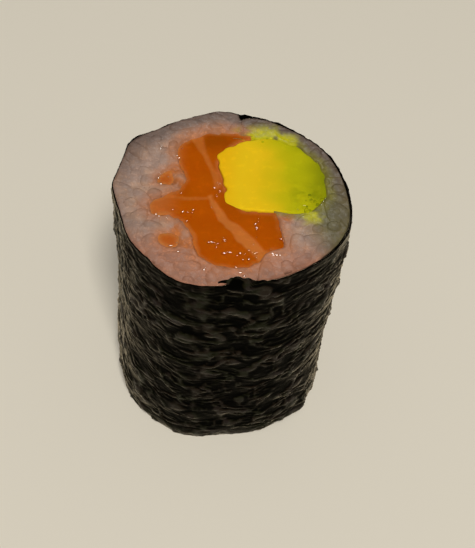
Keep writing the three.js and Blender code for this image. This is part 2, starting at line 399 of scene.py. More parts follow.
@dataclass(frozen=True)
class Press:
    """A place where a finger pressed the outline out or in."""

    at: float
    rise: float
    reach: float


@dataclass(frozen=True)
class Lean:
    """A place where the wall leans out or in, most of all at height z."""

    at: float
    reach: float
    z: float
    height: float
    rise: float


@dataclass(frozen=True)
class Roll:
    """The outline of the wall and the winding of the sheet, as in the solids.

    Only the last lean, a shallow hollow on the left, is a little deeper here, and the gap between the
    layers and the ridges are finer.
    """

    radius: float = 12.37
    height: float = 27.6
    sheet: float = 0.25
    layer_gap: float = 0.04
    inner_end: float = 90.0
    sheet_turn: float = 542.0
    lap_ease: float = 46.0
    fold_depth: float = 0.85
    fold_turn: float = 9.0
    tuck_depth: float = 0.3
    ridge_rise: float = 0.075
    ridge_spacing: float = 4.4
    ridge_wander: float = 1.8
    twist: float = -7.0
    presses: tuple[Press, ...] = (
        Press(-106, 0.84, 17), Press(-18, 0.44, 17), Press(38, 0.13, 13), Press(100, 0.52, 8),
        Press(149, 0.7, 10), Press(180, 0.19, 5), Press(-160, -0.49, 14),
    )
    leans: tuple[Lean, ...] = (
        Lean(-10, 18, 7, 9.5, -0.85), Lean(-150, 26, 0, 9, 0.62), Lean(-124, 14, 0, 9, 0.15),
        Lean(-178, 22, 15, 9, -0.4),
    )

    @property
    def lap(self) -> float:
        """Where the sheet's outer end lies over its first turn, wound from the inner end."""
        return self.sheet_turn - TURN

    def wound_at(self, angle: np.ndarray) -> np.ndarray:
        """How far the innermost layer is wound from the inner end, at a direction from the axis."""
        return np.mod(self.inner_end - angle, TURN)

    def turn_at(self, z: np.ndarray) -> np.ndarray:
        """How far the fillings have turned round the axis at a height, from the upper cut down."""
        return self.twist * (1.0 - z / self.height)

    def wall(self, angle: np.ndarray, z: np.ndarray) -> np.ndarray:
        """Distance from the axis to the wall: the pressed circle with its leans, less the tucked foot.

        Args:
            angle: direction from the axis.
            z: height.

        Returns:
            The distances.
        """
        pressed = self.radius + sum(p.rise * bell_round(angle, p.at, p.reach) for p in self.presses)
        leaning = sum(p.rise * bell_round(angle, p.at, p.reach) * bell(z, p.z, p.height) for p in self.leans)
        return pressed + leaning - self.tuck_depth * np.exp(-np.maximum(z, 0.0))

    def ridges(self, angle: np.ndarray, z: np.ndarray) -> np.ndarray:
        """Low wrinkles round the wall: rings that stray up and down, and swells that come and go.

        Args:
            angle: direction from the axis.
            z: height.

        Returns:
            How far the wrinkles stand out.
        """
        a = np.radians(angle)
        strayed = z + self.ridge_wander * np.sin(2 * a + 0.6) + 0.5 * np.sin(7 * a)
        rings = np.sin(2 * math.pi * strayed / self.ridge_spacing)
        swells = np.sin(z / 1.3 - 2.1 * np.sin(3 * a + 1.7) + 2) * np.sin(4 * a + 0.9)
        return self.ridge_rise * (0.6 * rings + 0.4 * swells)

    def sheet_depth(self, wound: np.ndarray) -> np.ndarray:
        """How far the sheet's outer face lies inside the wall's, wound so far from its inner end."""
        under = 1.0 - smoothstep(wound, self.lap, self.lap + self.lap_ease)
        fold = self.fold_depth * (1.0 - np.minimum(wound / self.fold_turn, 1.0)) ** 2
        return under * (self.sheet + self.layer_gap) + fold

    def rise(self, angle: np.ndarray) -> np.ndarray:
        """How much higher than its height the roll was cut: a little more at the back left."""
        return 0.06 + 0.17 * bell_round(angle, 122, 42)

    def rice_reach(self, angle: np.ndarray, z: np.ndarray) -> np.ndarray:
        """Distance from the axis to the inner face of the sheet's innermost layer."""
        layer = self.sheet_depth(self.wound_at(angle)) + self.sheet
        return self.wall(angle, z) + self.ridges(angle, z) - layer

    def twisted(self, plan: np.ndarray, z: np.ndarray) -> np.ndarray:
        """Carries plan places down to heights z, turning them round the axis on the way."""
        return rows_of(*turned(plan[:, 0], plan[:, 1], np.radians(self.turn_at(z))), z)

    def untwisted(self, points: np.ndarray) -> np.ndarray:
        """Plan places that points in space come from."""
        return np.stack(turned(points[:, 0], points[:, 1], -np.radians(self.turn_at(points[:, 2]))), -1)


ROLL = Roll()


# Finishes


class Nodes:
    """Lays out the nodes of one material with a few short calls."""

    def __init__(self, name: str) -> None:
        """Starts a material with its shader."""
        self.material = bpy.data.materials.new(name)
        self.material.use_nodes = True
        self.tree = self.material.node_tree
        self.shader = next(n for n in self.tree.nodes if n.type == "BSDF_PRINCIPLED")

    def add(
        self, kind: str, inputs: dict[str | int, object] | None = None, **settings: object
    ) -> bpy.types.Node:
        """Adds a node.

        Args:
            kind: the node's type.
            inputs: values, or sockets to link from, by input name or number.
            settings: the node's own settings.

        Returns:
            The node.
        """
        node = self.tree.nodes.new(kind)
        for key, value in settings.items():
            setattr(node, key, value)
        for key, value in (inputs or {}).items():
            self.feed(node, key, value)
        return node

    def feed(self, node: bpy.types.Node, key: str | int, value: object) -> None:
        """Sets an input to a value, or links it from another node's socket."""
        if isinstance(value, Socket):
            self.tree.links.new(value, node.inputs[key])
        else:
            node.inputs[key].default_value = value

    def attribute(self, name: str, output: str) -> Socket:
        """One of the mesh's own attributes."""
        return self.add("ShaderNodeAttribute", attribute_name=name).outputs[output]

    def coordinates(self, stretch: float = 1.0) -> Socket:
        """Object coordinates, stretched along the height."""
        source = self.add("ShaderNodeTexCoord").outputs["Object"]
        scale = (1.0, 1.0, stretch)
        return self.add("ShaderNodeMapping", {"Vector": source, "Scale": scale}).outputs["Vector"]

    def noise(self, where: Socket, scale: float, detail: float, rough: float) -> Socket:
        """The heights of a layered noise."""
        values = {"Vector": where, "Scale": scale, "Detail": detail, "Roughness": rough}
        return self.add("ShaderNodeTexNoise", values).outputs["Fac"]

    def ramp(self, height: Socket, low: float, high: float, start: float, end: float) -> Socket:
        """Maps heights from low to high onto start to end, smoothly."""
        values = {"Value": height, "From Min": low, "From Max": high, "To Min": start, "To Max": end}
        return self.add("ShaderNodeMapRange", values, interpolation_type="SMOOTHSTEP").outputs["Result"]

    def mix(self, factor: object, first: object, second: object, blend: str = "MIX") -> Socket:
        """Mixes two colours."""
        node = self.add("ShaderNodeMix", data_type="RGBA", blend_type=blend)
        for key, value in ((0, factor), (6, first), (7, second)):
            self.feed(node, key, (*value, 1.0) if isinstance(value, tuple) else value)
        return node.outputs[2]

    def bump(self, height: Socket, depth: float) -> Socket:
        """Normals bent by a height, where depth is in millimetres."""
        values = {"Height": height, "Distance": depth * MM, "Strength": 0.6}
        return self.add("ShaderNodeBump", values).outputs["Normal"]

    def finish(self, values: dict[str, object]) -> bpy.types.Material:
        """Sets the shader's inputs and hands the material over."""
        for key, value in values.items():
            self.feed(self.shader, key, value)
        return self.material


@dataclass(frozen=True)
class SeaweedFinish:
    """Damp seaweed in olive, brown and mauve patches, with painted shade that leaves the hollows near black,
    so the crests stand paler.
    """

    # Painted shade: the near-black colour laid into the hollows of the relief.
    hollow: Colour = (0.0006, 0.0006, 0.0003)
    olive: Colour = (0.0075, 0.0077, 0.0016)
    brown: Colour = (0.0104, 0.0058, 0.0023)
    mauve: Colour = (0.0116, 0.0066, 0.0052)
    fleck: Colour = (0.032, 0.0285, 0.0185)
    hollow_gloss: float = 0.008
    crest_gloss: float = 0.14
    sheen: float = 0.38
    sheen_tint: Colour = (1.0, 0.83, 0.54)

    def build(self) -> bpy.types.Material:
        """Makes the material: patches, then flecks along the fibres, then painted shade in the hollows of the
        relief.

        Returns:
            The material.
        """
        nodes = Nodes("damp_seaweed")
        relief = nodes.attribute("relief", "Fac")
        patches = nodes.noise(nodes.coordinates(1.4), 400.0, 3.0, 0.6)
        blushes = nodes.noise(nodes.coordinates(1.6), 530.0, 2.0, 0.5)
        fibres = nodes.noise(nodes.coordinates(2.6), 1100.0, 4.0, 0.7)
        specks = nodes.noise(nodes.coordinates(2.0), 3000.0, 2.0, 0.5)
        flesh = nodes.mix(nodes.ramp(patches, 0.42, 0.58, 0.0, 1.0), self.olive, self.brown)
        flesh = nodes.mix(nodes.ramp(blushes, 0.55, 0.68, 0.0, 0.8), flesh, self.mauve)
        flecked = nodes.mix(nodes.ramp(fibres, 0.5, 0.72, 0.0, 0.6), flesh, self.fleck)
        return nodes.finish({
            # Painted shade: where the relief is low, the colour goes to the near-black hollow colour.
            "Base Color": nodes.mix(nodes.ramp(relief, 0.08, 0.5, 0.0, 1.0), self.hollow, flecked),
            "Roughness": nodes.ramp(specks, 0.3, 0.7, 0.35, 0.55),
            "Specular IOR Level": nodes.ramp(relief, 0.15, 0.7, self.hollow_gloss, self.crest_gloss),
            "Sheen Weight": self.sheen,
            "Sheen Roughness": 0.25,
            "Sheen Tint": (*self.sheen_tint, 1.0),
            "Normal": nodes.bump(fibres, 0.07),
        })


@dataclass(frozen=True)
class TintedFinish:
    """Moist translucent food that takes its colour from the piece's tint attribute."""

    name: str
    shadow: Colour
    grain: float
    mottle: float
    rough_low: float
    rough_high: float
    bump_depth: float
    scatter: float = 0.0
    scatter_reach: Colour = (1.0, 0.7, 0.5)
    gloss: float = 0.0
    specks: float = 0.0
    speck: Colour = (1.6, 1.6, 1.6)

    def build(self) -> bpy.types.Material:
        """Makes the material: the tint, shaded by clouds and lightened by fine specks.

        Returns:
            The material.
        """
        nodes = Nodes(self.name)
        where = nodes.coordinates()
        clouds = nodes.noise(where, self.grain, 3.0, 0.55)
        fine = nodes.noise(where, self.grain * 3.5, 3.0, 0.6)
        shade = nodes.ramp(clouds, 0.35, 0.68, self.mottle, 0.0)
        shaded = nodes.mix(shade, nodes.attribute("tint", "Color"), self.shadow, "MULTIPLY")
        speckled = nodes.ramp(fine, 0.53, 0.68, 0.0, self.specks)
        return nodes.finish({
            "Base Color": nodes.mix(speckled, shaded, self.speck, "MULTIPLY"),
            "Roughness": nodes.ramp(fine, 0.35, 0.65, self.rough_low, self.rough_high),
            "Specular IOR Level": self.gloss,
            "Subsurface Weight": self.scatter,
            "Subsurface Radius": self.scatter_reach,
            "Subsurface Scale": MM,
            "Normal": nodes.bump(fine, self.bump_depth),
        })


RICE_FINISH = TintedFinish(
    name="sticky_rice", shadow=(0.72, 0.7, 0.68), grain=900.0, mottle=0.4, rough_low=0.3, rough_high=0.55,
    bump_depth=0.05, gloss=0.06, specks=0.5,
)
SALMON_FINISH = TintedFinish(
    name="moist_salmon", shadow=(0.85, 0.72, 0.6), grain=420.0, mottle=0.35, rough_low=0.25, rough_high=0.42,
    bump_depth=0.03, scatter=0.3, scatter_reach=(1.1, 0.35, 0.1), specks=0.15,
)
AVOCADO_FINISH = TintedFinish(
    name="soft_avocado", shadow=(0.92, 0.88, 0.7), grain=350.0, mottle=0.3, rough_low=0.42, rough_high=0.6,
    bump_depth=0.03, scatter=0.3, scatter_reach=(0.9, 0.7, 0.15), specks=0.1,
)


@dataclass(frozen=True)
class MoistureFinish:
    """A film of clear moisture that keeps the colour of what it lies on."""

    gloss: float = 0.5
    rough: float = 0.05

    def build(self) -> bpy.types.Material:
        """Makes the material."""
        nodes = Nodes("clear_moisture")
        tint = nodes.attribute("tint", "Color")
        return nodes.finish({"Base Color": tint, "Roughness": self.rough, "Specular IOR Level": self.gloss})


@dataclass(frozen=True)
class FloorFinish:
    """A plain pale floor without gloss."""

    pale: Colour = (0.79, 0.735, 0.62)
    cloud: Colour = (0.77, 0.715, 0.6)

    def build(self) -> bpy.types.Material:
        """Makes the material."""
        nodes = Nodes("pale_floor")
        clouds = nodes.mix(nodes.noise(nodes.coordinates(), 12.0, 2.0, 0.5), self.pale, self.cloud)
        return nodes.finish({"Base Color": clouds, "Roughness": 0.42, "Specular IOR Level": 0.0})


# The seaweed


@dataclass
class Seaweed:
    """The wound sheet: the wrap that shows, and the start of the sheet under the lap.

    The wrinkles come in three sizes: the share of each, its size and how wide its crests are.
    """

    columns_per_turn: float = 322.0
    outer_rows: int = 236
    inner_rows: int = 34
    wrap_start: float = 150.0
    start_end: float = 152.0
    lip_rise: float = 0.3
    lip_bend: float = 0.6
    fray_reach: float = 5.0
    hem_at: float = -49.0
    hem_reach: float = 15.0
    hem_rise: float = 0.95
    hem_flare: float = 0.4
    corner_at: float = -36.0
    corner_flare: float = 0.5
    ragged_rise: float = 0.1
    nick_depth: float = 0.24
    tear_depth: float = 0.5
    bead_rise: float = 0.04
    wrinkle_rise: float = 0.3
    wrinkle_middle: float = 0.22
    wrinkle_sizes: tuple[Triple, ...] = ((0.55, 1.35, 0.1), (0.45, 0.8, 0.12), (0.35, 0.45, 0.14))
    swell_rise: float = 0.35
    swell_count: int = 21
    lump_rise: float = 0.1
    lump_height: float = 1.9
    lump_count: int = 29
    set_in: float = 0.05
    buried: float = 0.17
    end_thinning: float = 0.93
    rim_thinning: float = 0.4
    rim_calm: float = 0.65
    # Painted reflection of the pale floor on the sheet's foot: how far it lifts the relief there.
    floor_reflection_share: float = 0.3
    fine: Noise = field(default_factory=lambda: Noise(11))
    warp: Noise = field(default_factory=lambda: Noise(12))
    coarse: Noise = field(default_factory=lambda: Noise(13))

    def lumps(self, angle: np.ndarray, z: np.ndarray) -> np.ndarray:
        """The rice that presses through: lumps about 2.7 mm long round the wall and 1.9 mm high."""
        round_wall = np.mod(angle, TURN) / TURN * self.lump_count
        return self.lump_rise * (self.coarse.lumps(round_wall, z / self.lump_height, self.lump_count) - 0.5)

    def crinkles(self, along: np.ndarray, z: np.ndarray) -> np.ndarray:
        """Shrunk wrinkles: short winding crests in three sizes, each coming and going by patches.

        A crest runs where a noise passes through its middle value. All are bent by a coarser noise.

        Args:
            along: length along the sheet.
            z: height.

        Returns:
            Heights above the hollows, from 0 to about 1.
        """
        sway = self.warp.at(along / 2.9, z / 2.3) + 0.45 * self.warp.at(along / 1.1 + 40, z / 0.9)
        bent_z = z + 1.5 * sway
        bent_along = along + 1.8 * self.warp.at(along / 2.1 + 90, z / 1.6)
        total = 0.0 * sway
        for share, size, width in self.wrinkle_sizes:
            patches = smoothstep(self.coarse.at(along / (1.5 * size) + 9 * size, z / size), 0.3, 0.75)
            winding = self.fine.at(bent_along / (1.65 * size) + 31 * size, bent_z / size)
            total = total + share * (0.15 + 0.85 * patches) * bell(winding, 0.5, width)
        return total

    def wrinkles(self, wound: np.ndarray, z: np.ndarray) -> np.ndarray:
        """The crinkles, made to run on across the seam, where the last turn lies over the first."""
        along = np.radians(wound) * ROLL.radius
        share = smoothstep(wound, ROLL.lap, ROLL.lap + 20)
        overlaid = self.crinkles(along + math.radians(TURN) * ROLL.radius, z)
        return overlaid * (1.0 - share) + self.crinkles(along, z) * share

    def flare(self, angle: np.ndarray, z: np.ndarray) -> np.ndarray:
        """How far the loose hem and its corner stand out from the wall, less and less upwards."""
        hem = self.hem_flare * bell_round(angle, self.hem_at, self.hem_reach) * np.exp(-z / 3.0)
        return hem + self.corner_flare * bell_round(angle, self.corner_at, 4) * np.exp(-z / 2.5)

    def rim(self, wound: np.ndarray, outer: np.ndarray) -> np.ndarray:
        """Height of the upper rim: ragged, with a torn lip at the sheet's outer end.

        Args:
            wound: how far round the sheet, from its inner end.
            outer: 1 where the sheet's last stretch is, 0 before it.

        Returns:
            The heights, lower where the lap or the rice covers the sheet.
        """
        a = np.radians(wound)
        end = ROLL.sheet_turn
        wave = self.ragged_rise * (0.6 * np.sin(5 * a + 1) + 0.4 * np.sin(13 * a + 2))
        nicks = self.nick_depth * (self.fine.at(wound / 2.2, 0.5 + 0 * wound) - 0.5)
        torn = self.tear_depth * (self.fine.at(wound / 1.1, 9.5 + 0 * wound) - 0.5)
        lip = (self.lip_rise + torn) * bell(wound, end - 9, 5) + 0.5 * bell(wound, end - 10, 12)
        under_lap = smoothstep(wound, 10, 22) * (1.0 - smoothstep(wound, 150, 176))
        covered = 0.4 * bell(wound, 157, 16) + 0.2 * under_lap
        return ROLL.height + ROLL.rise(ROLL.inner_end - wound) + wave + nicks + lip * outer - covered

    def foot(self, angle: np.ndarray, wound: np.ndarray, outer: np.ndarray) -> np.ndarray:
        """Height of the lower rim: on the floor, and lifted along the loose hem."""
        nicks = 0.1 * self.fine.at(wound / 2.5 + 30, 3.5 + 0 * wound) * smoothstep(wound, 150, 220)
        return nicks + outer * self.hem_rise * bell_round(angle, self.hem_at, self.hem_reach)

    def profile(self) -> tuple[np.ndarray, np.ndarray, np.ndarray]:
        """The sheet's closed profile: up outside, over a bead at the rim, and down inside.

        Returns:
            Share of the height, share of the way to the inner face, and 1 at the bead.
        """
        up = np.linspace(0.0, 1.0, self.outer_rows + 1)
        down = np.linspace(1.0, 0.0, self.inner_rows + 1)
        share = np.concatenate([up, [1.0], down, [0.0]])
        inner = np.concatenate([0 * up, [0.5], 0 * down + 1.0, [0.5]])
        bead = np.concatenate([0 * up, [1.0], 0 * down, [0.0]])
        return share[None], inner[None], bead[None]

    def frayed(self, wound: np.ndarray, share: np.ndarray) -> np.ndarray:
        """Lets the outer end stray from a straight cut, but not at the rim.

        Args:
            wound: how far round the sheet, from its inner end.
            share: share of the height.

        Returns:
            How far round the sheet each point comes to lie.
        """
        stray = (self.warp.at(share * 9, 7.5 + 0 * share) - 0.8) * (1.0 - smoothstep(share, 0.93, 0.98))
        return wound + self.fray_reach * stray * smoothstep(wound, ROLL.sheet_turn - 30, ROLL.sheet_turn)

    def ending(self, wound: np.ndarray, z: np.ndarray) -> np.ndarray:
        """Rises from 0 to 1 over the sheet's last 22 degrees, and over fewer at the rim."""
        easing = 22.0 - 14.0 * smoothstep(z, ROLL.height - 1.6, ROLL.height - 0.4)
        return smoothstep((wound - ROLL.sheet_turn) / easing, -1.0, -0.06)

    def sheet_part(
        self, name: str, start: float, end: float, material: bpy.types.Material
    ) -> bpy.types.Object:
        """A stretch of the sheet: its thin closed profile, carried round the roll.

        The outer face follows the wall, less its depth, with the lumps, the hem's flare and the bent lip.
        The outer end thins out and sinks into the turn below. The wrinkles lie on what shows, and the relief
        that they make, with a painted reflection of the floor at the foot, goes to the finish, which paints
        shade into its hollows.

        Args:
            name: the piece's name.
            start: where the stretch starts, wound from the inner end.
            end: where it ends.
            material: the finish.

        Returns:
            The piece.
        """
        share, inner, bead = self.profile()
        columns = int(self.columns_per_turn * (end - start) / TURN) + 1
        wound = self.frayed(np.linspace(start, end, columns)[:, None], share)
        angle = ROLL.inner_end - wound
        outer = smoothstep(wound, ROLL.sheet_turn - 100, ROLL.sheet_turn - 70)
        low = self.foot(angle, wound, outer)
        z = low + (self.rim(wound, outer) - low) * share + self.bead_rise * bead
        ending = self.ending(wound, z) * outer
        calm_rim = 1.0 - self.rim_calm * smoothstep(z, ROLL.height - 1.4, ROLL.height - 0.2)
        bent = self.lip_bend * bell(wound, ROLL.sheet_turn - 7, 10) * outer
        radius = ROLL.wall(angle, z) + ROLL.ridges(angle, z) + calm_rim * self.lumps(angle, z)
        radius = radius - self.set_in - ROLL.sheet_depth(wound) + outer * self.flare(angle, z)
        radius = radius - (ROLL.sheet_depth(ROLL.lap) + self.buried) * ending
        radius = radius - bent * smoothstep(z, ROLL.height - 0.4, ROLL.height + 0.7)
        thin = 1.0 - self.rim_thinning * smoothstep(z, ROLL.height - 1.2, ROLL.height)
        thin = thin * (1.0 - self.end_thinning * ending)
        shows = smoothstep(wound, 164, 172) * (1.0 - inner * (1.0 - ending))
        wrinkles = self.wrinkles(wound, z)
        round_wall = np.mod(angle, TURN) / TURN * self.swell_count
        swell = self.swell_rise * (self.warp.at(round_wall, z / 2.1, self.swell_count) - 0.5)
        relief = self.wrinkle_rise * (wrinkles - self.wrinkle_middle + swell)
        relief = relief * calm_rim * (1.0 - 0.6 * ending)
        radius = radius - ROLL.sheet * inner * thin + shows * relief
        points = rows_of(*turned(radius, 0.0 * radius, np.radians(angle)), z)
        # Painted reflection: the foot of the sheet is made paler, as if it mirrored the floor.
        reflected_floor = self.floor_reflection_share * (1.0 - smoothstep(z, 0.4, 2.6))
        size = share.shape[1]
        faces = [ring_grid(columns, size, False), end_caps(columns, size)]
        return make_piece(name, points, faces, material, {"relief": ((wrinkles + reflected_floor) * shows).ravel()})

    def build(self) -> None:
        """Makes both stretches of the sheet, the hidden one with fewer rows."""
        material = SeaweedFinish().build()
        wrap = self.sheet_part("seaweed_wrap", self.wrap_start, ROLL.sheet_turn, material)
        hand_over(wrap, "seaweed", "nori")
        hidden = Seaweed(outer_rows=44, inner_rows=11, columns_per_turn=300)
        hand_over(hidden.sheet_part("seaweed_start", 0.0, self.start_end, material), "seaweed", "nori")


# The fillings


@dataclass
class Filling:
    """A stick that runs through the roll: its outline on the upper cut and how its cut faces look."""

    corners: list[Place]
    top: float
    dome: float = 0.05
    edge: float = 0.18
    torn: float = 0.35
    points: int = 300
    spacing: float = 0.17
    wall_rows: int = 8
    noise: Noise = field(default_factory=lambda: Noise(21))

    def outline(self) -> np.ndarray:
        """The outline on the upper cut, with a slightly torn edge."""
        smooth = centripetal_curve(np.array(self.corners), self.points)
        return smooth + self.torn * (self.noise.on(smooth, 0.8, 40) - 0.5)[:, None] * outward(smooth)

    def relief(self, plan: np.ndarray) -> np.ndarray:
        """Unevenness of a cut face."""
        return 0.08 * (self.noise.on(plan, 1.4, 9) - 0.5)

    def tint(self, plan: np.ndarray, depth: np.ndarray) -> np.ndarray:
        """Colours of plan places at a depth inside the outline."""
        raise NotImplementedError

    def face(self, outline: np.ndarray) -> tuple[np.ndarray, np.ndarray]:
        """Plan places and triangles of a cut face.

        The outline comes first, then rows just inside it for the rounded edge, then a grid whose
        every other row is shifted by half a step.

        Args:
            outline: the outline's points.

        Returns:
            The places, and three indices for each triangle.
        """
        low, high = outline.min(0), outline.max(0)
        rows = np.arange(low[1], high[1], self.spacing * 0.87)
        columns = np.arange(low[0], high[0], self.spacing)
        x = columns[None] + 0.5 * self.spacing * (np.arange(len(rows)) % 2)[:, None]
        grid = np.stack([x, rows[:, None] + 0 * x], -1).reshape(-1, 2)
        grid = grid[depth_in(grid, outline) > self.edge + 0.4 * self.spacing]
        insets = [outline - self.edge * share * outward(outline) for share in (0.1, 0.35, 1.0)]
        near = np.concatenate([ring[depth_in(ring, outline) > 0.09 * self.edge] for ring in insets])
        plan = np.concatenate([outline, near, grid])
        loop = list(range(len(outline)))
        found = delaunay_2d_cdt([Vector(p) for p in plan], [], [loop], 1, 1e-6)
        return np.array([(p.x, p.y) for p in found[0]]), np.array([list(face) for face in found[2]])

    def build(self, name: str, slot: str, node: str, material: bpy.types.Material) -> None:
        """Makes the stick: two triangulated cut faces with rounded edges, and a wall that twists.

        Args:
            name: the piece's name.
            slot: the record's material slot.
            node: the solid that it stands for.
            material: the finish.
        """
        outline = self.outline()
        plan, triangles = self.face(outline)
        count, size = len(plan), len(outline)
        depth = np.maximum(depth_in(plan, outline), 0.0)
        depth[:size] = 0.0
        drop = 1.0 - np.minimum(depth / self.edge, 1.0)
        drop = self.edge * (1.0 - np.sqrt(1.0 - drop * drop))
        rise = self.relief(plan) + self.dome * smoothstep(depth, 0.0, 3.0)
        upper = self.top - drop + rise * smoothstep(depth, 0.0, 0.4)
        lower = drop + 0.1 * smoothstep(depth, 0.0, 0.8)
        levels = np.linspace(0.0, 1.0, self.wall_rows + 2)[1:-1]
        wall_z = np.repeat(self.edge + levels * (self.top - 2 * self.edge), size)
        all_plan = np.concatenate([plan, plan, np.tile(outline, (self.wall_rows, 1))])
        points = ROLL.twisted(all_plan, np.concatenate([upper, lower, wall_z]))
        starts = [count, *(2 * count + row * size for row in range(self.wall_rows)), 0]
        around = np.arange(size)
        beside = np.roll(around, -1)
        bands = zip(starts[:-1], starts[1:])
        quads = [np.stack([around + a, beside + a, beside + b, around + b], 1) for a, b in bands]
        faces = [np.concatenate(quads), np.concatenate([triangles, triangles[:, ::-1] + count])]
        colours = self.tint(all_plan, np.concatenate([depth, depth, 0.0 * wall_z]))
        hand_over(make_piece(name, points, faces, material, {"tint": colours}), slot, node)


class Avocado(Filling):
    """Buttery yellow flesh, greener towards the side where the rind was."""

    YELLOW: Colour = (0.86, 0.56, 0.012)
    WARM: Colour = (0.88, 0.5, 0.008)
    LIME: Colour = (0.5, 0.47, 0.006)
    GREEN: Colour = (0.2, 0.235, 0.004)

    def relief(self, plan: np.ndarray) -> np.ndarray:
        """Soft dents, and mashed crumbs near the lower right edge."""
        mash = smoothstep(4.0 - np.hypot(plan[:, 0] - 8.3, plan[:, 1] - 0.6), 1.4, 2.6)
        crumbs = self.noise.lumps(plan[:, 0] / 0.7 + 20, plan[:, 1] / 0.7 + 20) - 0.4
        return 0.07 * (self.noise.on(plan, 2.2, (5, 3)) - 0.5) + 0.16 * mash * crumbs

    def tint(self, plan: np.ndarray, depth: np.ndarray) -> np.ndarray:
        """Yellow, then lime and green towards the rind side on the right, and green mashed marks.

        Args:
            plan: plan places.
            depth: distance inside the outline.

        Returns:
            Linear colours.
        """
        x, y = plan.T
        across = x + 1.5 * smoothstep(y, 6.3, 8.6) - 0.6 * smoothstep(-y, -1.0, 1.5)
        across = across + self.noise.on(plan, 1.6, 60) - 0.5
        marks = bell_on(plan, (7.9, 0.8), 1.6) * smoothstep(self.noise.on(plan, (0.8, 0.5), 80), 0.5, 0.75)
        return painted(
            self.YELLOW,
            (self.WARM, smoothstep(x, 1.0, -1.2)),
            (self.LIME, smoothstep(across, 1.9, 6.8)),
            (self.GREEN, 0.95 * smoothstep(across, 6.4, 10.6)),
            (self.GREEN, 0.55 * marks),
        )


class Salmon(Filling):
    """Deep orange flesh with pale fat lines, thinner and paler towards the rice on its left."""

    FLESH: Colour = (0.47, 0.088, 0.0012)
    DEEP: Colour = (0.33, 0.068, 0.0012)
    FAT: Colour = (0.58, 0.17, 0.03)
    PALE: Colour = (0.56, 0.2, 0.055)
    BROAD_LINE = [(-2.2, -0.6), (-0.7, -3.3), (1.3, -5.4), (2.9, -7.2), (4.3, -8.9)]
    UPPER_LINE = [(-4.6, 9.2), (-4.1, 7.6), (-3.4, 5.8), (-2.6, 4.2), (-1.9, 2.8), (-1.5, 1.0)]
    CROSS_LINE = [(-6.8, -0.9), (-4.6, -1.1), (-2.2, -0.8)]
    LEFT_LINE = [(-4.6, -4.4), (-3.3, -6.2), (-2.9, -8.6)]
    GAP = 0.05

    def outline(self) -> np.ndarray:
        """The outline on the upper cut, moved off the avocado where it runs under it."""
        outline = super().outline()
        avocado = AVOCADO.outline()
        grown = avocado + self.GAP * outward(avocado)
        nearest = nearest_on_lines(outline, grown, np.roll(grown, -1, 0))[0]
        return np.where(inside(outline, grown)[:, None], nearest, outline)

    def lines(self, plan: np.ndarray) -> np.ndarray:
        """How much fat shows: bands along the lines, with frayed edges.

        Args:
            plan: plan places.

        Returns:
            From 0 to 1.
        """
        fray = 0.35 * (self.noise.on(plan, 0.9, (33, 12)) - 0.5)
        broad = distance_to_path(plan, self.BROAD_LINE) - 0.2 - 0.5 * smoothstep(-plan[:, 1], 0.8, 7.0)
        wedge = 0.12 + 0.5 * smoothstep(plan[:, 1], 4.0, 8.8)
        shown = 1.0 - smoothstep(broad + fray, -0.12, 0.22)
        others = ((self.UPPER_LINE, wedge, 0.65), (self.CROSS_LINE, 0.16, 0.5), (self.LEFT_LINE, 0.3, 0.5))
        for line, half, strength in others:
            away = distance_to_path(plan, line) - half
            shown = np.maximum(shown, strength * (1.0 - smoothstep(away + fray, -0.1, 0.25)))
        return shown

    def relief(self, plan: np.ndarray) -> np.ndarray:
        """Flakes that stand a little above the fat lines, and an uneven cut."""
        return 0.12 * (self.noise.on(plan, 1.9, (7, 2)) - 0.5) - 0.05 * self.lines(plan)

    def tint(self, plan: np.ndarray, depth: np.ndarray) -> np.ndarray:
        """Flesh, darker by patches, paler at the rice, with the fat lines.

        Args:
            plan: plan places.
            depth: distance inside the outline.

        Returns:
            Linear colours.
        """
        patches = 0.4 * smoothstep(self.noise.on(plan, 2.6, 50), 0.5, 0.9)
        lobe = 0.45 * smoothstep(-plan[:, 0], 4.6, 7.4)
        rim = 0.5 * (1.0 - smoothstep(depth, 0.0, 0.7)) * smoothstep(-plan[:, 0], -5.5, -4.5)
        upper = 0.4 * smoothstep(plan[:, 1], 8.7, 9.6)
        return painted(
            self.FLESH,
            (self.DEEP, np.clip(patches + bell_on(plan, (-2.3, 8.0), 1.8), 0, 1)),
            (self.PALE, np.clip(lobe + rim + upper, 0, 1)),
            (self.FAT, self.lines(plan)),
        )


class Scrap(Filling):
    """A small scrap of salmon, under a film of rice starch."""

    def tint(self, plan: np.ndarray, depth: np.ndarray) -> np.ndarray:
        """Paler at the edge than in the middle."""
        return painted(Salmon.FLESH, (Salmon.PALE, 0.85 - 0.6 * smoothstep(depth, 0.1, 0.8)))


AVOCADO = Avocado(
    corners=[
        (-0.4, -1.3), (1.8, -2.0), (4.8, -1.8), (7.7, -1.8), (9.4, -0.3), (9.9, 2.3), (9.2, 5.2),
        (7.2, 7.6), (4.6, 8.9), (2.1, 8.8), (-0.4, 7.3), (-1.9, 6.0), (-1.4, 3.6), (-0.7, 1.2),
    ],
    top=27.64,
)
SALMON = Salmon(
    corners=[
        (-5.5, 7.8), (-6.3, 6.2), (-6.1, 4.4), (-5.3, 2.7), (-5.2, 0.9), (-6.7, -0.8), (-8.3, -2.3),
        (-8.0, -3.8), (-6.2, -3.7), (-4.5, -4.7), (-3.5, -6.6), (-2.8, -8.7), (-0.9, -9.8), (1.7, -10.0),
        (3.3, -9.1), (4.4, -7.6), (5.8, -6.8), (5.5, -5.0), (5.2, -3.2), (4.6, -1.2), (1.6, -0.2),
        (0.8, 3.6), (0.6, 7.2), (1.8, 9.3), (0.1, 9.5), (-1.9, 9.5), (-3.5, 9.1), (-4.4, 8.3),
    ],
    top=27.55,
    points=420,
    noise=Noise(22),
)
